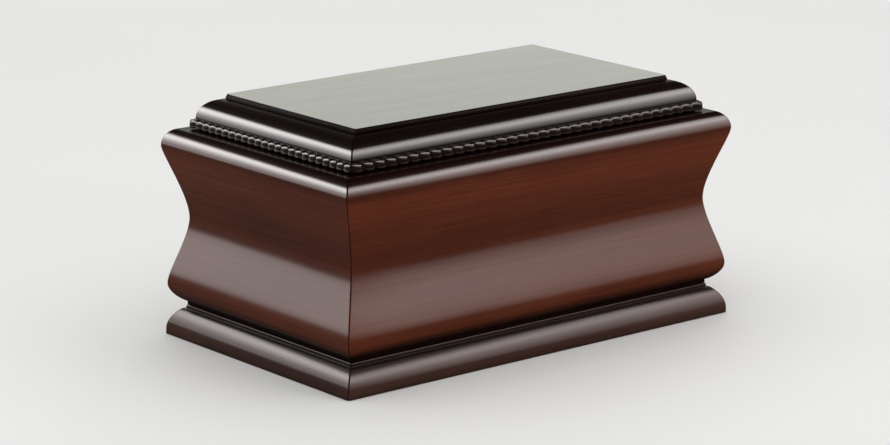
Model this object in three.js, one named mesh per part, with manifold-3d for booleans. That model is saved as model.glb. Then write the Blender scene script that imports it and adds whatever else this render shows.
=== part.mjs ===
// Wooden cremation urn: a casket on a moulded base, with coved walls and a lift-off lid that carries
// a rope moulding, an ovolo frame and a raised top board. Millimetres, +Z up, X along the long side.
// The origin is the middle of the underside. Every side of a frame is its own rail, mitred at 45 degrees.
import * as THREE from 'three';
import { mergeVertices } from 'three/addons/utils/BufferGeometryUtils.js';
import Module from 'manifold-3d';

const wasm = await Module();
wasm.setup();

// Overall size and fits
const baseLength = 292;
const baseDepth = 178.4;
const mitreGap = 0.3;
const jointGap = 0.3;
const curveSegments = 12;

// Base moulding: a straight foot, a quarter round and a set-back fillet below the neck
const baseHeight = 18.3;
const footHeight = 2.8;
const baseRoundHeight = 13.1;
const baseRoundRun = 7.2;
const baseRoundSteepness = 7.2;
const baseRoundLeavingRun = 2;
const baseRoundLeavingDrop = 1.35;
const filletInset = 8.9;
const filletArris = 0.5;

// Bottom board, let into a rebate in the underside of the base moulding
const bottomBoardThickness = 12;
const rebateWidth = 6;
const boardClearance = 0.3;

// Wall: neck, lower round, long cove to the waist and back out, upper round to a flat rim
const wallHeight = 106.9;
const neckInset = 9.4;
const neckHeight = 2.1;
const lowerBulgeInset = 1;
const lowerBulgeRise = 12.8;
const waistInset = 10.9;
const waistRise = 53.4;
const upperBulgeProud = 0.6;
const upperRoundHeight = 9.9;
const upperRoundRun = 7.6;
const waistThickness = 14.1;

// How far each curve of the wall keeps its direction before it turns
const neckPull = 1.4;
const lowerRoundPull = 6.3;
const lowerSweepPull = 7;
const waistPullBelow = 11.3;
const waistPullAbove = 13.5;
const upperSweepPull = 5.6;
const upperRoundPull = 5.8;
const rimPull = 3.1;

// Rope moulding: a flattened half-round strip with slanting strands. The lean is a share of the strand
// pitch, and the calm is how much of the groove is lost on the middle of the face.
const ropeHeight = 5.9;
const ropeDepth = 2.8;
const ropeFaceInset = 11.5;
const ropeSquareness = 4.2;
const ropeGrooveDepth = 0.8;
const ropeCrestFlatness = 0.7;
const ropeLean = 0.8;
const ropeFaceCalm = 0.5;
const strandPitchLong = 8.16;
const strandPitchEnd = 6.48;

// Lid frame: an upright behind the rope, an ovolo above it, and a lip that drops between the walls
const lidUprightHeight = 6.2;
const ovoloStep = 0.3;
const ovoloHeight = 11.8;
const ovoloRun = 12.3;
const ovoloSteepness = 6.7;
const ovoloFlatness = 6.5;
const lipDepth = 5;
const lipThickness = 6.2;
const lipClearance = 0.8;

// Top board: a stepped edge that shows above the ovolo, and a tongue that drops into the frame
const topBoardEdge = 3;
const topBoardQuirk = 0.5;
const topBoardStep = 0.5;
const topBoardStepBelowTop = 1.1;
const topBoardStepRise = 0.4;
const tongueDepth = 4.5;

// Levels above the underside, each worked out from the one below it
const wallBottom = baseHeight + jointGap;
const rimTop = wallBottom + wallHeight;
const lidBottom = rimTop + jointGap;
const ropeMiddle = lidBottom + ropeHeight / 2;
const ovoloBottom = lidBottom + lidUprightHeight;
const ovoloTop = ovoloBottom + ovoloHeight;
const topBoardBottom = ovoloTop + jointGap;
const topBoardTop = topBoardBottom + topBoardEdge;

// Insets from the edge of the base, shared by the pieces that meet there
const interiorInset = waistInset + waistThickness;
const rebateInset = interiorInset - rebateWidth;
const ropeBackInset = ropeFaceInset + ropeDepth;
const lidUprightInset = ropeBackInset + jointGap;
const ovoloInset = lidUprightInset - ovoloStep;
const lipInset = interiorInset + lipClearance;
const lidOpeningInset = lipInset + lipThickness;
const topBoardInset = ovoloInset + ovoloRun + topBoardQuirk;

const lacquer = { metalness: 0, roughness: 0.28 };
const baseWood = new THREE.MeshStandardMaterial({ color: 0x3a1f18, ...lacquer });
const wallWood = new THREE.MeshStandardMaterial({ color: 0x4a271d, ...lacquer });
const lidWood = new THREE.MeshStandardMaterial({ color: 0x36201a, ...lacquer });
const ropeWood = new THREE.MeshStandardMaterial({ color: 0x2c1712, ...lacquer });
const boardWood = new THREE.MeshStandardMaterial({ color: 0x40241c, ...lacquer });

// The four sides: the long ones face along Y, and the ends face along X. The strands rise toward the
// front left corner on both sides that meet there, so they lean left on the long sides, right on the ends.
const longSide = { reach: baseDepth / 2, length: baseLength, strandPitch: strandPitchLong, leanWay: -1 };
const endSide = { reach: baseLength / 2, length: baseDepth, strandPitch: strandPitchEnd, leanWay: 1 };
const sides = [
  { name: 'front', turn: -Math.PI / 2, ...longSide },
  { name: 'back', turn: Math.PI / 2, ...longSide },
  { name: 'left', turn: Math.PI, ...endSide },
  { name: 'right', turn: 0, ...endSide },
];

// Outlines are drawn with x outward from the edge of the base and y up
function baseOutline() {
  const roundTop = footHeight + baseRoundHeight;
  const outline = new THREE.Shape();
  outline.moveTo(0, 0);
  outline.lineTo(0, footHeight);
  outline.bezierCurveTo(
    0, footHeight + baseRoundSteepness,
    -baseRoundRun + baseRoundLeavingRun, roundTop - baseRoundLeavingDrop,
    -baseRoundRun, roundTop,
  );
  outline.lineTo(-filletInset, roundTop);
  outline.lineTo(-filletInset, baseHeight - filletArris);
  outline.lineTo(-filletInset - filletArris, baseHeight);
  outline.lineTo(-interiorInset, baseHeight);
  outline.lineTo(-interiorInset, bottomBoardThickness + jointGap);
  outline.lineTo(-rebateInset, bottomBoardThickness + jointGap);
  outline.lineTo(-rebateInset, 0);
  outline.closePath();
  return outline;
}

function wallOutline() {
  const neck = wallBottom + neckHeight;
  const lowerBulge = wallBottom + lowerBulgeRise;
  const waist = wallBottom + waistRise;
  const upperBulge = rimTop - upperRoundHeight;
  const rimEdge = upperBulgeProud - upperRoundRun;
  const outline = new THREE.Shape();
  outline.moveTo(-neckInset, wallBottom);
  outline.lineTo(-neckInset, neck);
  outline.bezierCurveTo(
    -neckInset + neckPull, neck,
    -lowerBulgeInset, lowerBulge - lowerRoundPull,
    -lowerBulgeInset, lowerBulge,
  );
  outline.bezierCurveTo(
    -lowerBulgeInset, lowerBulge + lowerSweepPull,
    -waistInset, waist - waistPullBelow,
    -waistInset, waist,
  );
  outline.bezierCurveTo(
    -waistInset, waist + waistPullAbove,
    upperBulgeProud, upperBulge - upperSweepPull,
    upperBulgeProud, upperBulge,
  );
  outline.bezierCurveTo(
    upperBulgeProud, upperBulge + upperRoundPull,
    rimEdge + rimPull, rimTop,
    rimEdge, rimTop,
  );
  outline.lineTo(-interiorInset, rimTop);
  outline.lineTo(-interiorInset, wallBottom);
  outline.closePath();
  return outline;
}

function lidFrameOutline() {
  const ledgeInset = ovoloInset + ovoloRun;
  const outline = new THREE.Shape();
  outline.moveTo(-lidUprightInset, lidBottom);
  outline.lineTo(-lidUprightInset, ovoloBottom);
  outline.lineTo(-ovoloInset, ovoloBottom);
  outline.bezierCurveTo(
    -ovoloInset, ovoloBottom + ovoloSteepness,
    -ledgeInset + ovoloFlatness, ovoloTop,
    -ledgeInset, ovoloTop,
  );
  outline.lineTo(-lidOpeningInset, ovoloTop);
  outline.lineTo(-lidOpeningInset, rimTop - lipDepth);
  outline.lineTo(-lipInset, rimTop - lipDepth);
  outline.lineTo(-lipInset, lidBottom);
  outline.closePath();
  return outline;
}

// A rail with this outline along one side, cut at both ends so that each point stops at its own mitre.
// Its own frame has x outward, y along the side and z up.
function mitredRail(outline, sideLength) {
  const settings = { depth: 1, steps: 1, bevelEnabled: false, curveSegments };
  const geometry = new THREE.ExtrudeGeometry(outline, settings);
  const position = geometry.attributes.position;
  for (let i = 0; i < position.count; i += 1) {
    const outward = position.getX(i);
    const up = position.getY(i);
    const end = 1 - 2 * position.getZ(i);
    const halfRun = sideLength / 2 + outward - mitreGap / Math.SQRT2;
    position.setXYZ(i, outward, end * halfRun, up);
  }
  geometry.deleteAttribute('normal');
  geometry.deleteAttribute('uv');
  return mergeVertices(geometry);
}

function toManifold(geometry) {
  const vertProperties = new Float32Array(geometry.attributes.position.array);
  const triVerts = new Uint32Array(geometry.index.array);
  return new wasm.Manifold(new wasm.Mesh({ numProp: 3, vertProperties, triVerts }));
}

function fromManifold(solid) {
  const mesh = solid.getMesh();
  const geometry = new THREE.BufferGeometry();
  geometry.setAttribute('position', new THREE.BufferAttribute(new Float32Array(mesh.vertProperties), 3));
  geometry.setIndex(new THREE.BufferAttribute(new Uint32Array(mesh.triVerts), 1));
  return geometry;
}

// A straight length of rope moulding: a flat back and a squarish half-round face. Each strand rises from
// a valley over a crest, and each point up the section is shifted further along, so the strands lean.
function ropeStock(strands, pitch, leanWay) {
  const stepsPerStrand = 4;
  const faceSteps = 6;
  const steps = strands * stepsPerStrand;
  const ring = faceSteps + 1;
  const points = [];
  for (let j = 0; j <= steps; j += 1) {
    const rise = Math.abs(Math.sin((j / stepsPerStrand) * Math.PI)) ** ropeCrestFlatness;
    for (let k = 0; k <= faceSteps; k += 1) {
      const angle = (k / faceSteps - 0.5) * Math.PI;
      const groove = ropeGrooveDepth * (1 - ropeFaceCalm * Math.cos(angle) ** 2);
      const fullness = 1 - (1 - rise) * (groove / ropeDepth);
      const outward = fullness * ropeDepth * Math.max(0, Math.cos(angle)) ** (2 / ropeSquareness);
      const upShare = Math.sign(angle) * Math.abs(Math.sin(angle)) ** (2 / ropeSquareness);
      const lean = (leanWay * ropeLean * angle) / Math.PI;
      const along = (j / stepsPerStrand - strands / 2 + lean) * pitch;
      points.push(outward, along, (fullness * upShare * ropeHeight) / 2);
    }
  }
  const triangles = [];
  for (let j = 0; j < steps; j += 1) {
    const here = j * ring;
    const next = here + ring;
    for (let k = 0; k < faceSteps; k += 1) {
      triangles.push(here + k, next + k, next + k + 1);
      triangles.push(here + k, next + k + 1, here + k + 1);
    }
    triangles.push(here, here + faceSteps, next + faceSteps);
    triangles.push(here, next + faceSteps, next);
  }
  const last = steps * ring;
  for (let k = 1; k < faceSteps; k += 1) {
    triangles.push(0, k, k + 1);
    triangles.push(last, last + k + 1, last + k);
  }
  const geometry = new THREE.BufferGeometry();
  geometry.setAttribute('position', new THREE.Float32BufferAttribute(points, 3));
  geometry.setIndex(triangles);
  return geometry;
}

// The rope stock is a little too long, and the mitres at both ends cut it to its side
function ropeRail(side) {
  const faceRun = side.length - 2 * ropeFaceInset;
  const strands = Math.round(faceRun / side.strandPitch);
  const pitch = faceRun / strands;
  const stock = ropeStock(strands + 2, pitch, side.leanWay);
  stock.translate(-ropeBackInset, 0, ropeMiddle);
  const margin = 1;
  const cutter = new THREE.Shape();
  cutter.moveTo(-ropeFaceInset + margin, ropeMiddle - ropeHeight);
  cutter.lineTo(-ropeFaceInset + margin, ropeMiddle + ropeHeight);
  cutter.lineTo(-ropeBackInset - margin, ropeMiddle + ropeHeight);
  cutter.lineTo(-ropeBackInset - margin, ropeMiddle - ropeHeight);
  cutter.closePath();
  const cut = toManifold(stock).intersect(toManifold(mitredRail(cutter, side.length)));
  return fromManifold(cut);
}

// A rectangular board built up from levels, each an inset from the edge of the base and a height
function board(levels) {
  const points = [];
  for (const [inset, height] of levels) {
    const halfLength = baseLength / 2 - inset;
    const halfDepth = baseDepth / 2 - inset;
    points.push(-halfLength, -halfDepth, height);
    points.push(halfLength, -halfDepth, height);
    points.push(halfLength, halfDepth, height);
    points.push(-halfLength, halfDepth, height);
  }
  const triangles = [0, 2, 1, 0, 3, 2];
  for (let level = 0; level < levels.length - 1; level += 1) {
    for (let corner = 0; corner < 4; corner += 1) {
      const a = level * 4 + corner;
      const b = level * 4 + ((corner + 1) % 4);
      triangles.push(a, b, b + 4);
      triangles.push(a, b + 4, a + 4);
    }
  }
  const top = (levels.length - 1) * 4;
  triangles.push(top, top + 1, top + 2, top, top + 2, top + 3);
  const geometry = new THREE.BufferGeometry();
  geometry.setAttribute('position', new THREE.Float32BufferAttribute(points, 3));
  geometry.setIndex(triangles);
  return geometry;
}

function named(name, geometry, material) {
  geometry.computeVertexNormals();
  const mesh = new THREE.Mesh(geometry, material);
  mesh.name = name;
  return mesh;
}

// Four rails around the urn, each turned to face its own side
function frame(prefix, material, makeRail) {
  const group = new THREE.Group();
  for (const side of sides) {
    const rail = named(`${prefix}_${side.name}`, makeRail(side), material);
    rail.rotation.z = side.turn;
    rail.position.set(Math.cos(side.turn) * side.reach, Math.sin(side.turn) * side.reach, 0);
    group.add(rail);
  }
  return group;
}

function makeBase() {
  const group = frame('base_moulding', baseWood, (side) => mitredRail(baseOutline(), side.length));
  const inset = rebateInset + boardClearance;
  group.add(named('bottom_board', board([[inset, 0], [inset, bottomBoardThickness]]), boardWood));
  return group;
}

function makeWalls() {
  return frame('wall', wallWood, (side) => mitredRail(wallOutline(), side.length));
}

function makeLid() {
  const lid = frame('lid_frame', lidWood, (side) => mitredRail(lidFrameOutline(), side.length));
  lid.add(frame('rope_moulding', ropeWood, ropeRail));
  const tongueInset = lidOpeningInset + boardClearance;
  const stepTop = topBoardTop - topBoardStepBelowTop;
  const topBoard = board([
    [tongueInset, topBoardBottom - tongueDepth],
    [tongueInset, topBoardBottom],
    [topBoardInset, topBoardBottom],
    [topBoardInset, stepTop - topBoardStepRise],
    [topBoardInset + topBoardStep, stepTop],
    [topBoardInset + topBoardStep, topBoardTop],
  ]);
  lid.add(named('lid_top_board', topBoard, boardWood));
  return lid;
}

const urn = new THREE.Group();
urn.add(makeBase());
urn.add(makeWalls());
urn.add(makeLid());

export default urn;
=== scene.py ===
"""Looks of the wooden cremation urn: its mouldings at full smoothness, the stained and lacquered wood,
a pale floor, soft studio light and the camera. Metres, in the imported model's own frame."""

import math

import bmesh
import bpy
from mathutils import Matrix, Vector


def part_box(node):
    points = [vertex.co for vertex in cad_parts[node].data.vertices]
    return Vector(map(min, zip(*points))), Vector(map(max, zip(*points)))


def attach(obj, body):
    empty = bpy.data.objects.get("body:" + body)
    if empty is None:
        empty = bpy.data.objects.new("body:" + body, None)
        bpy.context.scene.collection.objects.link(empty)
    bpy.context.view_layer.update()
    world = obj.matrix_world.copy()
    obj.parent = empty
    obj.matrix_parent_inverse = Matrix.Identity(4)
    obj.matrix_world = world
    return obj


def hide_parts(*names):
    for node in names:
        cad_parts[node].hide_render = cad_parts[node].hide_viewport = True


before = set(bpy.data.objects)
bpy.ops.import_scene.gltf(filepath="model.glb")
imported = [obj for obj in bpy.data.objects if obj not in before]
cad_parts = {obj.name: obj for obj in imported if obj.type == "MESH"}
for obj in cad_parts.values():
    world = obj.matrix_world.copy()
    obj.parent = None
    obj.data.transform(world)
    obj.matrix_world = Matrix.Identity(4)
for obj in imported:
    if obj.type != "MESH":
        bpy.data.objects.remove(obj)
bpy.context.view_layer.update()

MM = 0.001

# Levels and edges that the solids give
BASE_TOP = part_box("base_moulding_front")[1].z
BOTTOM_BOARD_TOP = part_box("bottom_board")[1].z
WALL_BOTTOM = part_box("wall_front")[0].z
RIM_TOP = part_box("wall_front")[1].z
LIP_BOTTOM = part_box("lid_frame_front")[0].z
LEDGE_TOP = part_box("lid_frame_front")[1].z
ROPE_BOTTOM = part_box("rope_moulding_front")[0].z
ROPE_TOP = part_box("rope_moulding_front")[1].z
TONGUE_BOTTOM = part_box("lid_top_board")[0].z
BOARD_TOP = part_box("lid_top_board")[1].z
HALF_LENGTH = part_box("base_moulding_right")[1].x
HALF_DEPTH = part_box("base_moulding_back")[1].y

# Gaps at the glue lines and under the boards
MITRE_GAP = 0.3 * MM
JOINT_GAP = 0.3 * MM
BOARD_CLEARANCE = 0.3 * MM

# Base moulding
FOOT_HEIGHT = 2.8 * MM
BASE_ROUND_HEIGHT = 13.1 * MM
BASE_ROUND_RUN = 7.2 * MM
BASE_ROUND_STEEPNESS = 7.2 * MM
BASE_ROUND_LEAVING_RUN = 2 * MM
BASE_ROUND_LEAVING_DROP = 1.35 * MM
FILLET_INSET = 8.9 * MM
FILLET_ARRIS = 0.5 * MM
REBATE_WIDTH = 6 * MM

# Wall, from the neck up over both bulges to the rim
NECK_INSET = 9.4 * MM
NECK_HEIGHT = 2.1 * MM
LOWER_BULGE_INSET = 1 * MM
LOWER_BULGE_RISE = 12.8 * MM
WAIST_INSET = 10.9 * MM
WAIST_RISE = 53.4 * MM
UPPER_BULGE_PROUD = 0.6 * MM
UPPER_ROUND_HEIGHT = 9.9 * MM
UPPER_ROUND_RUN = 7.6 * MM
WAIST_THICKNESS = 14.1 * MM
NECK_PULL = 1.4 * MM
LOWER_ROUND_PULL = 6.3 * MM
LOWER_SWEEP_PULL = 7 * MM
WAIST_PULL_BELOW = 11.3 * MM
WAIST_PULL_ABOVE = 13.5 * MM
UPPER_SWEEP_PULL = 5.6 * MM
UPPER_ROUND_PULL = 5.8 * MM
RIM_PULL = 3.1 * MM
INTERIOR_INSET = WAIST_INSET + WAIST_THICKNESS

# Rope moulding; the lean is a share of the strand pitch, the calm of the groove on the middle of the face
ROPE_DEPTH = 2.8 * MM
ROPE_FACE_INSET = 11.5 * MM
ROPE_SQUARENESS = 4.2
ROPE_GROOVE_DEPTH = 0.8 * MM
ROPE_CREST_FLATNESS = 0.7
ROPE_LEAN = 0.8
ROPE_FACE_CALM = 0.5
STRAND_PITCH_LONG = 8.16 * MM
STRAND_PITCH_END = 6.48 * MM

# Lid frame and top board
LID_UPRIGHT_HEIGHT = 6.2 * MM
OVOLO_STEP = 0.3 * MM
OVOLO_RUN = 12.3 * MM
OVOLO_STEEPNESS = 6.7 * MM
OVOLO_FLATNESS = 6.5 * MM
LIP_THICKNESS = 6.2 * MM
LIP_CLEARANCE = 0.8 * MM
TOP_BOARD_QUIRK = 0.5 * MM
TOP_BOARD_STEP = 0.5 * MM
TOP_BOARD_STEP_BELOW_TOP = 1.1 * MM
TOP_BOARD_STEP_RISE = 0.4 * MM

ROPE_BACK_INSET = ROPE_FACE_INSET + ROPE_DEPTH
UPRIGHT_INSET = ROPE_BACK_INSET + JOINT_GAP
OVOLO_INSET = UPRIGHT_INSET - OVOLO_STEP
OVOLO_BOTTOM = ROPE_BOTTOM + LID_UPRIGHT_HEIGHT
LIP_INSET = INTERIOR_INSET + LIP_CLEARANCE
LID_OPENING_INSET = LIP_INSET + LIP_THICKNESS
TOP_BOARD_INSET = OVOLO_INSET + OVOLO_RUN + TOP_BOARD_QUIRK

# How finely the forms are drawn
CURVE_STEPS = 40
ARRIS_STEPS = 3
SHARP_TURN = math.radians(25)
ARRIS_RADIUS = 0.25 * MM
BOARD_ARRIS_RADIUS = 0.12 * MM
ARRIS_SHARE_OF_FLAT = 0.35
ARRIS_SUPPORT = 1.35
SUPPORT_RUN = 0.3 * MM
SMOOTH_ANGLE = math.radians(40)
BOARD_CORNER_RADIUS = 0.5 * MM
BOARD_CORNER_STEPS = 4
STRAND_STEPS = 16
ROPE_FACE_STEPS = 18

# Camera, fitted to the edges in the photograph
CAMERA_AZIMUTH = math.radians(-39.34)
CAMERA_ELEVATION = math.radians(14.13)
CAMERA_DISTANCE = 2.0502
CAMERA_LENS = 137.16
CAMERA_SENSOR = 36
CAMERA_AIM = Vector((0.0074, 0.0130, 0.0586))


def make_camera():
    data = bpy.data.cameras.new("camera")
    data.lens = CAMERA_LENS
    data.sensor_width = CAMERA_SENSOR
    camera = bpy.data.objects.new("camera", data)
    flat = math.cos(CAMERA_ELEVATION)
    back = Vector((
        math.sin(CAMERA_AZIMUTH) * flat,
        -math.cos(CAMERA_AZIMUTH) * flat,
        math.sin(CAMERA_ELEVATION),
    ))
    camera.location = CAMERA_AIM + back * CAMERA_DISTANCE
    camera.rotation_mode = "QUATERNION"
    camera.rotation_quaternion = (-back).to_track_quat("-Z", "Y")
    bpy.context.scene.collection.objects.link(camera)
    bpy.context.scene.camera = camera


# The sides: how far out each is, half its length, and its rope's strand pitch and which way the strands lean
LONG_SIDE = dict(reach=HALF_DEPTH, half_run=HALF_LENGTH, strand_pitch=STRAND_PITCH_LONG, lean_way=-1)
END_SIDE = dict(reach=HALF_LENGTH, half_run=HALF_DEPTH, strand_pitch=STRAND_PITCH_END, lean_way=1)
SIDES = {
    "front": dict(outward=Vector((0, -1, 0)), along=Vector((1, 0, 0)), **LONG_SIDE),
    "back": dict(outward=Vector((0, 1, 0)), along=Vector((-1, 0, 0)), **LONG_SIDE),
    "left": dict(outward=Vector((-1, 0, 0)), along=Vector((0, -1, 0)), **END_SIDE),
    "right": dict(outward=Vector((1, 0, 0)), along=Vector((0, 1, 0)), **END_SIDE),
}


def curve(start, leave, arrive, end, steps=CURVE_STEPS):
    """Points of a cubic curve after its start; leave and arrive are its two handles."""
    points = []
    for i in range(1, steps + 1):
        t = i / steps
        s = 1 - t
        weights = (s ** 3, 3 * s * s * t, 3 * s * t * t, t ** 3)
        points.append(tuple(
            sum(w * p[axis] for w, p in zip(weights, (start, leave, arrive, end))) for axis in (0, 1)
        ))
    return points


def turn_at(before, here, after):
    """How far an outline turns at a point, in radians."""
    a = Vector(here) - Vector(before)
    b = Vector(after) - Vector(here)
    return abs(a.angle_signed(b, 0))


def ease(outline, radius=ARRIS_RADIUS):
    """The closed outline with each sharp corner replaced by a small arc, with a support point on either side
    that keeps the flats beside it flat."""
    eased = []
    count = len(outline)
    for i, here in enumerate(outline):
        before = outline[i - 1]
        after = outline[(i + 1) % count]
        if turn_at(before, here, after) < SHARP_TURN:
            eased.append(here)
            continue
        corner = Vector(here)
        to_before = Vector(before) - corner
        to_after = Vector(after) - corner
        cut = min(radius, ARRIS_SHARE_OF_FLAT * to_before.length, ARRIS_SHARE_OF_FLAT * to_after.length)
        start = corner + to_before.normalized() * cut
        end = corner + to_after.normalized() * cut
        eased.append(tuple(corner + to_before.normalized() * cut * ARRIS_SUPPORT))
        for k in range(ARRIS_STEPS + 1):
            t = k / ARRIS_STEPS
            point = start * (1 - t) ** 2 + corner * 2 * t * (1 - t) + end * t * t
            eased.append(tuple(point))
        eased.append(tuple(corner + to_after.normalized() * cut * ARRIS_SUPPORT))
    return eased


def base_outline():
    round_top = FOOT_HEIGHT + BASE_ROUND_HEIGHT
    rebate = -(INTERIOR_INSET - REBATE_WIDTH)
    ledge = BOTTOM_BOARD_TOP + JOINT_GAP
    outline = [(0, 0), (0, FOOT_HEIGHT)]
    outline += curve(
        (0, FOOT_HEIGHT),
        (0, FOOT_HEIGHT + BASE_ROUND_STEEPNESS),
        (-BASE_ROUND_RUN + BASE_ROUND_LEAVING_RUN, round_top - BASE_ROUND_LEAVING_DROP),
        (-BASE_ROUND_RUN, round_top),
    )
    outline += [
        (-FILLET_INSET, round_top),
        (-FILLET_INSET, BASE_TOP - FILLET_ARRIS),
        (-FILLET_INSET - FILLET_ARRIS, BASE_TOP),
        (-INTERIOR_INSET, BASE_TOP),
        (-INTERIOR_INSET, ledge),
        (rebate, ledge),
        (rebate, 0),
    ]
    return ease(outline)


def wall_outline():
    neck = (-NECK_INSET, WALL_BOTTOM + NECK_HEIGHT)
    lower = (-LOWER_BULGE_INSET, WALL_BOTTOM + LOWER_BULGE_RISE)
    waist = (-WAIST_INSET, WALL_BOTTOM + WAIST_RISE)
    upper = (UPPER_BULGE_PROUD, RIM_TOP - UPPER_ROUND_HEIGHT)
    rim = (UPPER_BULGE_PROUD - UPPER_ROUND_RUN, RIM_TOP)
    outline = [(-NECK_INSET, WALL_BOTTOM), neck]
    pulls = (
        (neck, (NECK_PULL, 0), (0, -LOWER_ROUND_PULL), lower),
        (lower, (0, LOWER_SWEEP_PULL), (0, -WAIST_PULL_BELOW), waist),
        (waist, (0, WAIST_PULL_ABOVE), (0, -UPPER_SWEEP_PULL), upper),
        (upper, (0, UPPER_ROUND_PULL), (RIM_PULL, 0), rim),
    )
    for start, leave, arrive, end in pulls:
        first_handle = (start[0] + leave[0], start[1] + leave[1])
        last_handle = (end[0] + arrive[0], end[1] + arrive[1])
        outline += curve(start, first_handle, last_handle, end)
    outline += [(-INTERIOR_INSET, RIM_TOP), (-INTERIOR_INSET, WALL_BOTTOM)]
    return ease(outline)


def lid_frame_outline():
    foot = (-OVOLO_INSET, OVOLO_BOTTOM)
    ledge = (-OVOLO_INSET - OVOLO_RUN, LEDGE_TOP)
    first_handle = (foot[0], foot[1] + OVOLO_STEEPNESS)
    last_handle = (ledge[0] + OVOLO_FLATNESS, ledge[1])
    outline = [(-UPRIGHT_INSET, ROPE_BOTTOM), (-UPRIGHT_INSET, OVOLO_BOTTOM), foot]
    outline += curve(foot, first_handle, last_handle, ledge)
    outline += [
        (-LID_OPENING_INSET, LEDGE_TOP),
        (-LID_OPENING_INSET, LIP_BOTTOM),
        (-LIP_INSET, LIP_BOTTOM),
        (-LIP_INSET, ROPE_BOTTOM),
    ]
    return ease(outline)


def shrink(outline, amount):
    """The closed outline moved inward by this much, each point along its own normal."""
    moved = []
    count = len(outline)
    for i, here in enumerate(outline):
        before = Vector(outline[i - 1])
        after = Vector(outline[(i + 1) % count])
        run = (after - before).normalized()
        moved.append((here[0] - run.y * amount, here[1] + run.x * amount))
    return moved


def finish_mesh(name, vertices, faces, board_points, material):
    """Makes the piece from its vertices and faces, in place of the solid it is named after, and stores where
    each vertex lies in its own board."""
    mesh = bpy.data.meshes.new(name)
    mesh.from_pydata(vertices, [], faces)
    attribute = mesh.attributes.new("board", "FLOAT_VECTOR", "POINT")
    for datum, point in zip(attribute.data, board_points):
        datum.vector = point
    work = bmesh.new()
    work.from_mesh(mesh)
    bmesh.ops.recalc_face_normals(work, faces=work.faces)
    work.to_mesh(mesh)
    work.free()
    mesh.polygons.foreach_set("use_smooth", [True] * len(mesh.polygons))
    mesh.set_sharp_from_angle(angle=SMOOTH_ANGLE)
    mesh.materials.append(material)
    piece = bpy.data.objects.new(name, mesh)
    bpy.context.scene.collection.objects.link(piece)
    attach(piece, "root")
    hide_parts(name.removesuffix(".fine"))


def place(side, out, along, up):
    """A point of a side's own frame, in the urn's frame."""
    return side["outward"] * (side["reach"] + out) + side["along"] * along + Vector((0, 0, up))


# How far apart the boards were cut from the timber, along it and across it
CUT_ALONG = 0.37
CUT_ACROSS = 0.053


def board_offset(index):
    """Where in the timber a board was cut, so that no two boards share their figure."""
    return Vector((CUT_ALONG * index, CUT_ACROSS * index, 0))


def make_rail(name, outline, side_name, material, index):
    """A mitred rail: the outline swept along its side, with its end arrises eased."""
    side = SIDES[side_name]
    end_rings = []
    for k in range(ARRIS_STEPS):
        angle = math.pi / 2 * k / (ARRIS_STEPS - 1)
        end_rings.append((ARRIS_RADIUS * (1 - math.sin(angle)), ARRIS_RADIUS * (1 - math.cos(angle))))
    end_rings.append((0, ARRIS_RADIUS + SUPPORT_RUN))
    rings = [(-1, shrunk, pulled) for shrunk, pulled in end_rings]
    rings += [(1, shrunk, pulled) for shrunk, pulled in reversed(end_rings)]
    vertices = []
    board_points = []
    offset = board_offset(index)
    for end, shrunk, pulled in rings:
        for out, up in shrink(outline, shrunk):
            along = end * (side["half_run"] + out - MITRE_GAP / math.sqrt(2) - pulled)
            vertices.append(place(side, out, along, up))
            board_points.append(offset + Vector((along, out, up)))
    count = len(outline)
    faces = [list(range(count)), [len(vertices) - count + i for i in range(count)]]
    for ring in range(len(rings) - 1):
        for i in range(count):
            a = ring * count + i
            b = ring * count + (i + 1) % count
            faces.append((a, b, b + count, a + count))
    finish_mesh(name, vertices, faces, board_points, material)


def make_rope(name, side_name, material, index):
    """A strip of rope moulding with rounded, slanting strands, mitred at both ends."""
    side = SIDES[side_name]
    face_run = 2 * (side["half_run"] - ROPE_FACE_INSET)
    strands = round(face_run / side["strand_pitch"])
    pitch = face_run / strands
    height = ROPE_TOP - ROPE_BOTTOM
    middle = (ROPE_TOP + ROPE_BOTTOM) / 2
    steps = strands * STRAND_STEPS
    ring = ROPE_FACE_STEPS + 1
    vertices = []
    board_points = []
    offset = board_offset(index)
    for j in range(steps + 1):
        share = 2 * j / steps - 1
        for k in range(ring):
            angle = (k / ROPE_FACE_STEPS - 0.5) * math.pi
            full_out = max(0.0, math.cos(angle)) ** (2 / ROPE_SQUARENESS)
            full_up = math.copysign(abs(math.sin(angle)) ** (2 / ROPE_SQUARENESS), angle)
            full_run = side["half_run"] - ROPE_BACK_INSET + ROPE_DEPTH * full_out
            along = share * (full_run - MITRE_GAP / math.sqrt(2))
            phase = along / pitch + strands / 2 - side["lean_way"] * ROPE_LEAN * angle / math.pi
            rise = abs(math.sin(phase * math.pi)) ** ROPE_CREST_FLATNESS
            groove = ROPE_GROOVE_DEPTH * (1 - ROPE_FACE_CALM * math.cos(angle) ** 2)
            fullness = 1 - (1 - rise) * groove / ROPE_DEPTH
            out = -ROPE_BACK_INSET + ROPE_DEPTH * full_out * fullness
            up = middle + height / 2 * full_up * fullness
            along = share * (side["half_run"] + out - MITRE_GAP / math.sqrt(2))
            vertices.append(place(side, out, along, up))
            board_points.append(offset + Vector((along, out, up)))
    faces = [list(range(ring)), [len(vertices) - ring + k for k in range(ring)]]
    for j in range(steps):
        a = j * ring
        faces.append((a, a + ring, a + 2 * ring - 1, a + ring - 1))
        for k in range(ROPE_FACE_STEPS):
            faces.append((a + k, a + k + 1, a + ring + k + 1, a + ring + k))
    finish_mesh(name, vertices, faces, board_points, material)


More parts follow.
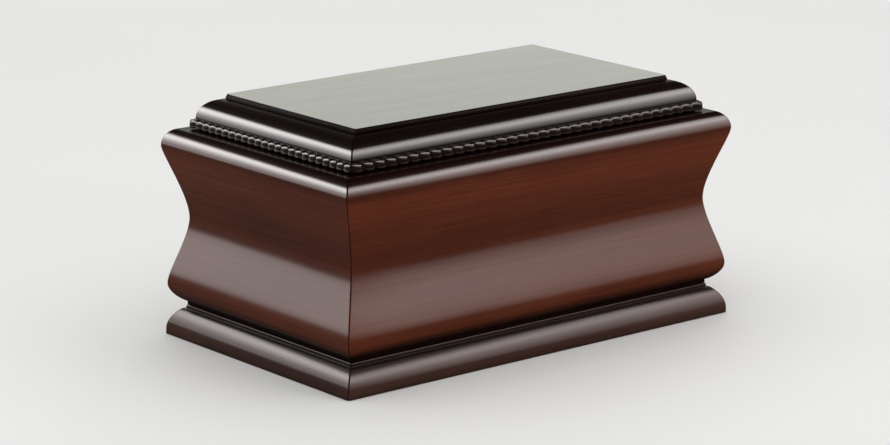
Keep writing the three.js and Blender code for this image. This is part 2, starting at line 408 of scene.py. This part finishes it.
def make_board(name, levels, material, index):
    """A board built up from levels, each an inset from the edge of the base and a height."""
    inner_edge = [(-HALF_DEPTH, levels[-1][1]), (-HALF_DEPTH, levels[0][1])]
    eased = ease([(-inset, up) for inset, up in levels] + inner_edge, BOARD_ARRIS_RADIUS)
    section = [(out, up) for out, up in eased if out > -HALF_DEPTH / 2]
    section.insert(0, (section[0][0] - SUPPORT_RUN, section[0][1]))
    section.append((section[-1][0] - SUPPORT_RUN, section[-1][1]))
    vertices = []
    board_points = []
    offset = board_offset(index)
    for out, up in section:
        for quadrant in range(4):
            for k in range(BOARD_CORNER_STEPS + 1):
                angle = math.pi / 2 * (quadrant + k / BOARD_CORNER_STEPS)
                sign_x = 1 if quadrant in (0, 3) else -1
                sign_y = 1 if quadrant in (0, 1) else -1
                x = sign_x * (HALF_LENGTH + out - BOARD_CORNER_RADIUS) + BOARD_CORNER_RADIUS * math.cos(angle)
                y = sign_y * (HALF_DEPTH + out - BOARD_CORNER_RADIUS) + BOARD_CORNER_RADIUS * math.sin(angle)
                vertices.append(Vector((x, y, up)))
                board_points.append(offset + Vector((x, y, up)))
    ring = 4 * (BOARD_CORNER_STEPS + 1)
    faces = [list(range(ring)), [len(vertices) - ring + i for i in range(ring)]]
    for level in range(len(section) - 1):
        for i in range(ring):
            a = level * ring + i
            b = level * ring + (i + 1) % ring
            faces.append((a, b, b + ring, a + ring))
    finish_mesh(name, vertices, faces, board_points, material)


class Graph:
    """A short way to add and link shader nodes."""

    def __init__(self, tree):
        self.tree = tree
        tree.nodes.clear()

    def add(self, kind, inputs=None, **settings):
        node = self.tree.nodes.new(kind)
        for key, value in settings.items():
            setattr(node, key, value)
        for key, value in (inputs or {}).items():
            if isinstance(value, bpy.types.NodeSocket):
                self.tree.links.new(value, node.inputs[key])
            else:
                node.inputs[key].default_value = value
        return node

    def mix(self, factor, a, b, blend="MIX"):
        node = self.add("ShaderNodeMix", data_type="RGBA", blend_type=blend)
        for socket, value in ((node.inputs[0], factor), (node.inputs[6], a), (node.inputs[7], b)):
            if isinstance(value, bpy.types.NodeSocket):
                self.tree.links.new(value, socket)
            else:
                socket.default_value = value
        return node.outputs[2]

    def noise(self, vector, scale=1.0, detail=2.0, roughness=0.5):
        inputs = {"Vector": vector, "Scale": scale, "Detail": detail, "Roughness": roughness}
        return self.add("ShaderNodeTexNoise", inputs).outputs[0]

    def range(self, value, low, high, to_low=0.0, to_high=1.0):
        inputs = {"Value": value, "From Min": low, "From Max": high, "To Min": to_low, "To Max": to_high}
        return self.add("ShaderNodeMapRange", inputs).outputs[0]

    def by_height(self, up, stops):
        """A level read off stops that are heights in metres."""
        top = stops[-1][0]
        return self.levels(self.range(up, 0.0, top), [(height / top, level) for height, level in stops])

    def fade(self, value, none, full):
        """0 where the value is none, 1 where it is full, with a soft step between."""
        if none < full:
            inputs = {"Value": value, "From Min": none, "From Max": full, "To Min": 0.0, "To Max": 1.0}
        else:
            inputs = {"Value": value, "From Min": full, "From Max": none, "To Min": 1.0, "To Max": 0.0}
        return self.add("ShaderNodeMapRange", inputs, interpolation_type="SMOOTHSTEP").outputs[0]

    def levels(self, value, stops, interpolation="LINEAR"):
        """A level read off given stops, each a place from 0 to 1 and the level there."""
        node = self.add("ShaderNodeValToRGB", {0: value})
        ramp = node.color_ramp
        ramp.interpolation = interpolation
        for element, (place_on, level) in zip((ramp.elements[0], ramp.elements[-1]), (stops[0], stops[-1])):
            element.position = place_on
            element.color = (level, level, level, 1)
        for place_on, level in stops[1:-1]:
            ramp.elements.new(place_on).color = (level, level, level, 1)
        return node.outputs[0]

    def math(self, operation, a, b):
        return self.add("ShaderNodeMath", {0: a, 1: b}, operation=operation).outputs[0]

    def stretch(self, vector, along, across):
        inputs = {0: vector, 1: (along, across, across)}
        return self.add("ShaderNodeVectorMath", inputs, operation="MULTIPLY").outputs[0]


# The grain, as waves to the metre along the board and across it, and how far the figure sways (metres)
WARP = (4, 22)
FIGURE = (1.5, 130)
STREAKS = (7, 520)
FIBRES = (40, 2600)
CLOUD = (9, 16)
SWELL = (14, 40)
FIGURE_SWAY = 0.02

# Colours that multiply the stain between and on the streaks and in the pores, the painted shade colour of the
# quirks and how far it reaches
STREAK_DARK = (0.86, 0.84, 0.84, 1)
STREAK_LIGHT = (1.06, 1.05, 1.04, 1)
PORE_DARK = (0.55, 0.5, 0.5, 1)
PORE_SHARE = 0.55
QUIRK_PAINTED_SHADE = (0.004, 0.002, 0.0015, 1)
QUIRK_SHADE_REACH = 6 * MM

# How deep the lacquer's swells and the wood's fibres are
SWELL_DEPTH = 0.35 * MM
FIBRE_DEPTH = 0.08 * MM


def wood(name, stain, coat_roughness, painted_shade=(), polish=(), crevice_shade=0.75):
    """Stained mahogany under lacquer. The grain runs along each board, cut from its own timber. The stain is
    three colours from dark to light. The shade and light painted in by height multiply the stain, polish is
    the gloss of the lacquer by height, and the last number is how dark the shade painted into the quirks is."""
    dark, middle, light = ((*colour, 1) for colour in stain)
    material = bpy.data.materials.new(name)
    material.use_nodes = True
    graph = Graph(material.node_tree)
    board = graph.add("ShaderNodeAttribute", attribute_name="board").outputs["Vector"]
    warp = graph.noise(graph.stretch(board, *WARP))
    sway = graph.add("ShaderNodeCombineXYZ", {1: warp, 2: warp}).outputs[0]
    swayed = graph.add(
        "ShaderNodeVectorMath", {0: sway, 1: (FIGURE_SWAY,) * 3, 2: board}, operation="MULTIPLY_ADD"
    ).outputs[0]
    figure = graph.noise(graph.stretch(swayed, *FIGURE), detail=3.0, roughness=0.6)
    streaks = graph.noise(graph.stretch(board, *STREAKS), detail=3.0, roughness=0.55)
    fibres = graph.noise(graph.stretch(board, *FIBRES))
    cloud = graph.noise(graph.stretch(board, *CLOUD))

    tone = graph.mix(graph.range(figure, 0.35, 0.68), dark, middle)
    tone = graph.mix(graph.range(cloud, 0.4, 0.75, 0.0, 0.6), tone, light)
    streak_tone = graph.mix(graph.range(streaks, 0.38, 0.6), STREAK_DARK, STREAK_LIGHT)
    tone = graph.mix(1.0, tone, streak_tone, "MULTIPLY")
    pore_tone = graph.mix(graph.range(fibres, 0.33, 0.45), PORE_DARK, (1, 1, 1, 1))
    tone = graph.mix(PORE_SHARE, tone, pore_tone, "MULTIPLY")
    up = graph.add("ShaderNodeSeparateXYZ", {0: board}).outputs["Z"]
    # painted shade and painted light by height, multiplied into the stain
    if painted_shade:
        tone = graph.mix(1.0, tone, graph.by_height(up, painted_shade), "MULTIPLY")
    # painted shade in the quirks: the colour darkens toward a near-black where the wood is hemmed in
    open_share = graph.add("ShaderNodeAmbientOcclusion", {"Distance": QUIRK_SHADE_REACH}, samples=8).outputs["AO"]
    tone = graph.mix(graph.range(open_share, 0.3, 0.85, crevice_shade, 0.0), tone, QUIRK_PAINTED_SHADE)

    swell = graph.noise(graph.stretch(board, *SWELL), detail=1.0)
    coat_bump = graph.add("ShaderNodeBump", {"Height": swell, "Strength": 0.5, "Distance": SWELL_DEPTH})
    wood_bump = graph.add("ShaderNodeBump", {"Height": fibres, "Strength": 0.3, "Distance": FIBRE_DEPTH})
    shader = graph.add("ShaderNodeBsdfPrincipled", {
        "Base Color": tone,
        "Roughness": graph.range(streaks, 0.3, 0.7, 0.5, 0.38),
        "Normal": wood_bump.outputs[0],
        "Coat Normal": coat_bump.outputs[0],
    })
    shader.inputs["Specular IOR Level"].default_value = 0.02
    shader.inputs["Coat Weight"].default_value = 1.0
    if polish:
        graph.tree.links.new(graph.by_height(up, polish), shader.inputs["Coat Weight"])
    shader.inputs["Coat Roughness"].default_value = coat_roughness
    shader.inputs["Coat IOR"].default_value = 1.5
    graph.add("ShaderNodeOutputMaterial", {"Surface": shader.outputs[0]})
    return material


# Painted shade and painted light by height (metres, share of the timber's own colour), multiplied into the
# stain:
# darkest in the neck, the waist, at the rim and on the base moulding's top where shade falls, lighter on the
# upper body
WALL_PAINTED_SHADE = (
    (0.0215, 0.1), (0.0245, 0.3), (0.0275, 0.75), (0.031, 0.82), (0.045, 0.82), (0.06, 0.78),
    (0.073, 0.66), (0.084, 0.72), (0.096, 0.9), (0.106, 1.0), (0.1115, 0.9), (0.1155, 0.6),
    (0.119, 0.45), (0.1225, 0.12), (0.1248, 0.05), (0.1254, 0.05),
)
# Painted shade on the base moulding: darker in the quirk at the top of its round, lighter again on the fillet
BASE_PAINTED_SHADE = ((0.0, 1.0), (0.012, 0.9), (0.015, 0.3), (0.0165, 0.3), (0.0175, 0.9), (0.0183, 0.6))

# How far the lacquer is polished by height (metres, share of full gloss): dull in the quirks and on the rim
BASE_POLISH = (
    (0.0, 0.8), (0.006, 0.7), (0.01, 0.6), (0.0125, 0.5), (0.0145, 0.42), (0.0158, 0.35),
    (0.0162, 0.4), (0.018, 0.5), (0.0183, 0.4),
)
WALL_POLISH = (
    (0.0, 0.2), (0.021, 0.2), (0.0265, 0.7), (0.03, 1.0), (0.114, 1.0), (0.1172, 0.85),
    (0.1192, 1.0), (0.1215, 1.0), (0.1235, 0.6), (0.1248, 0.3), (0.126, 0.2),
)
LID_POLISH = (
    (0.0, 1.0), (0.1325, 0.6), (0.1345, 1.0), (0.1395, 1.0), (0.1415, 0.5), (0.143, 0.3), (0.144, 0.2),
)
BOARD_POLISH = ((0.0, 1.0), (0.14, 0.15), (0.1466, 0.15), (0.147, 1.0))

WOODS = {
    "base_wood": dict(
        stain=((0.05, 0.023, 0.017), (0.074, 0.034, 0.024), (0.096, 0.043, 0.03)),
        coat_roughness=0.17, painted_shade=BASE_PAINTED_SHADE, polish=BASE_POLISH,
    ),
    "wall_wood": dict(
        stain=((0.11, 0.024, 0.01), (0.137, 0.031, 0.0125), (0.16, 0.039, 0.016)),
        coat_roughness=0.15, painted_shade=WALL_PAINTED_SHADE, polish=WALL_POLISH,
    ),
    "lid_wood": dict(
        stain=((0.004, 0.0015, 0.001), (0.007, 0.0025, 0.0018), (0.009, 0.0035, 0.0025)),
        coat_roughness=0.12, polish=LID_POLISH,
    ),
    "rope_wood": dict(
        stain=((0.01, 0.004, 0.003), (0.016, 0.006, 0.0045), (0.02, 0.008, 0.006)),
        coat_roughness=0.1, crevice_shade=0.25,
    ),
    "board_wood": dict(
        stain=((0.009, 0.0045, 0.003), (0.015, 0.007, 0.0045), (0.02, 0.009, 0.006)),
        coat_roughness=0.1, polish=BOARD_POLISH,
    ),
}


def make_urn():
    woods = {name: wood(name, **settings) for name, settings in WOODS.items()}
    rails = (
        ("base_moulding", base_outline(), "base_wood"),
        ("wall", wall_outline(), "wall_wood"),
        ("lid_frame", lid_frame_outline(), "lid_wood"),
    )
    for number, side in enumerate(SIDES):
        index = number
        for prefix, outline, slot in rails:
            make_rail(f"{prefix}_{side}.fine", outline, side, woods[slot], index)
            index += len(SIDES)
        make_rope(f"rope_moulding_{side}.fine", side, woods["rope_wood"], index)
    bottom_inset = INTERIOR_INSET - REBATE_WIDTH + BOARD_CLEARANCE
    bottom_levels = [(bottom_inset, 0), (bottom_inset, BOTTOM_BOARD_TOP)]
    make_board("bottom_board.fine", bottom_levels, woods["board_wood"], index + 1)
    tongue_inset = LID_OPENING_INSET + BOARD_CLEARANCE
    plate_bottom = LEDGE_TOP + JOINT_GAP
    step_top = BOARD_TOP - TOP_BOARD_STEP_BELOW_TOP
    top_levels = [
        (tongue_inset, TONGUE_BOTTOM),
        (tongue_inset, plate_bottom),
        (TOP_BOARD_INSET, plate_bottom),
        (TOP_BOARD_INSET, step_top - TOP_BOARD_STEP_RISE),
        (TOP_BOARD_INSET + TOP_BOARD_STEP, step_top),
        (TOP_BOARD_INSET + TOP_BOARD_STEP, BOARD_TOP),
    ]
    make_board("lid_top_board.fine", top_levels, woods["board_wood"], index + 2)


# The floor: half its width, and how far it lies under the urn so that the two don't touch
FLOOR_HALF = 8.0
FLOOR_DROP = 0.2 * MM


def make_floor():
    material = bpy.data.materials.new("floor")
    material.use_nodes = True
    graph = Graph(material.node_tree)
    place_on_floor = graph.add("ShaderNodeTexCoord").outputs["Object"]
    mottle = graph.noise(place_on_floor, scale=3.0)
    tone = graph.mix(mottle, (0.8, 0.8, 0.79, 1), (0.83, 0.83, 0.825, 1))
    shader = graph.add("ShaderNodeBsdfPrincipled", {"Base Color": tone, "Roughness": 0.9})
    shader.inputs["Specular IOR Level"].default_value = 0.1
    graph.add("ShaderNodeOutputMaterial", {"Surface": shader.outputs[0]})
    mesh = bpy.data.meshes.new("floor")
    corners = [(x * FLOOR_HALF, y * FLOOR_HALF, 0) for x, y in ((-1, -1), (1, -1), (1, 1), (-1, 1))]
    mesh.from_pydata(corners, [], [(0, 1, 2, 3)])
    mesh.materials.append(material)
    floor = bpy.data.objects.new("floor", mesh)
    floor.location.z = -FLOOR_DROP
    floor.visible_glossy = False
    bpy.context.scene.collection.objects.link(floor)


# Softboxes beside the urn: where each hangs, its width and height, its tint, and its glow up its face,
# as pairs of how far up (0 to 1) and how bright
SOFTBOXES = (
    dict(name="back_left", place=(-0.40, 0.40, 0.23), size=(0.50, 0.36), tint=(1, 0.965, 0.955), glow=(
        (0.0, 0.0), (0.03, 2.4), (0.07, 2.6), (0.16, 2.6), (0.25, 2.8), (0.42, 4.9),
        (0.58, 9.0), (0.72, 12.0), (0.85, 10.2), (0.935, 3.2), (1.0, 0.0),
    )),
    dict(name="front_right", place=(0.42, -0.46, 0.33), size=(0.56, 0.66), tint=(1, 0.955, 0.945), glow=(
        (0.0, 0.0), (0.063, 0.6), (0.16, 1.35), (0.212, 1.75), (0.346, 2.7), (0.47, 4.1),
        (0.588, 6.6), (0.7, 7.9), (0.81, 6.2), (0.909, 3.0), (0.97, 0.8), (1.0, 0.0),
    )),
)
LIGHT_AIM = Vector((0, 0, 0.07))
SOFTBOX_SIDE_FADE = 0.12

# Parts of the studio that only the lacquer shows: the way to each over the floor, how far round it reaches
# (full, none), the heights where it fades in and out (as the sine of the elevation) and its brightness
PANELS = (
    dict(way=(0.63, 0.78), full=14, none=32, rise=(-0.02, 0.12), fall=(0.36, 0.5), glow=(1.23, 1.27, 1.15)),
    dict(way=(-0.53, 0.85), full=20, none=60, rise=(-1.0, -0.5), fall=(-0.1, 0.2), glow=(0.06, 0.055, 0.055)),
)
ROOM_GLOW = (0.03, 0.028, 0.026, 1)

# Lights that only lift the wood and the floor: where each hangs, its width and its brightness
FILLS = (
    dict(name="overhead", place=(0, 0, 5.0), size=14.0, radiance=1.3),
    dict(name="front_fill", place=(0.9, -2.2, 0.35), size=1.0, radiance=4.0),
)


def hang_light(data, place):
    """A light at its place, turned toward the urn."""
    light = bpy.data.objects.new(data.name, data)
    light.location = place
    light.rotation_mode = "QUATERNION"
    light.rotation_quaternion = (LIGHT_AIM - light.location).to_track_quat("-Z", "Y")
    light.visible_camera = False
    bpy.context.scene.collection.objects.link(light)
    return light


def make_softbox(name, place, size, tint, glow):
    """A soft light beside the urn, which fades to its edges."""
    data = bpy.data.lights.new(name, "AREA")
    data.shape = "RECTANGLE"
    data.size, data.size_y = size
    data.energy = size[0] * size[1] * math.pi
    data.use_nodes = True
    graph = Graph(data.node_tree)
    on_face = graph.add("ShaderNodeNewGeometry").outputs["Parametric"]
    face = graph.add("ShaderNodeSeparateXYZ", {0: on_face})
    one_side = graph.fade(face.outputs[0], 0.0, SOFTBOX_SIDE_FADE)
    other_side = graph.fade(face.outputs[0], 1.0, 1.0 - SOFTBOX_SIDE_FADE)
    sides = graph.math("MULTIPLY", one_side, other_side)
    brightest = max(level for _, level in glow)
    stops = [(place_up, level / brightest) for place_up, level in glow]
    level = graph.levels(face.outputs[1], stops, "EASE")
    strength = graph.math("MULTIPLY", graph.math("MULTIPLY", level, sides), brightest)
    emission = graph.add("ShaderNodeEmission", {"Color": (*tint, 1), "Strength": strength})
    graph.add("ShaderNodeOutputLight", {"Surface": emission.outputs[0]})
    hang_light(data, place).visible_diffuse = False


def make_fill(name, place, size, radiance):
    """A wide, weak light that lifts the wood and the floor; the lacquer doesn't mirror it."""
    data = bpy.data.lights.new(name, "AREA")
    data.size = size
    data.energy = radiance * size ** 2 * math.pi
    hang_light(data, place).visible_glossy = False


def panel_glow(graph, way, rise_z, panel):
    """How brightly a panel shines from each direction of the sky."""
    heading = Vector((*panel["way"], 0)).normalized()
    facing = graph.add("ShaderNodeVectorMath", {0: way, 1: heading}, operation="DOT_PRODUCT").outputs["Value"]
    around = graph.fade(facing, math.cos(math.radians(panel["none"])), math.cos(math.radians(panel["full"])))
    lifted = graph.fade(rise_z, *panel["rise"])
    capped = graph.fade(rise_z, *reversed(panel["fall"]))
    strength = graph.math("MULTIPLY", graph.math("MULTIPLY", around, lifted), capped)
    return graph.mix(strength, (0, 0, 0, 1), (*panel["glow"], 1))


def make_light():
    for fill in FILLS:
        make_fill(**fill)
    for softbox in SOFTBOXES:
        make_softbox(**softbox)
    world = bpy.data.worlds.new("studio")
    world.use_nodes = True
    bpy.context.scene.world = world
    graph = Graph(world.node_tree)
    direction = graph.add("ShaderNodeTexCoord").outputs["Generated"]
    rise_z = graph.add("ShaderNodeSeparateXYZ", {0: direction}).outputs["Z"]
    level = graph.add("ShaderNodeVectorMath", {0: direction, 1: (1, 1, 0)}, operation="MULTIPLY").outputs[0]
    way = graph.add("ShaderNodeVectorMath", {0: level}, operation="NORMALIZE").outputs[0]
    glow = ROOM_GLOW
    for panel in PANELS:
        glow = graph.mix(1.0, panel_glow(graph, way, rise_z, panel), glow, "ADD")
    background = graph.add("ShaderNodeBackground", {"Color": glow, "Strength": 1.0})
    graph.add("ShaderNodeOutputWorld", {"Surface": background.outputs[0]})


make_camera()
make_urn()
make_floor()
make_light()
bpy.context.scene.view_settings.view_transform = "Standard"
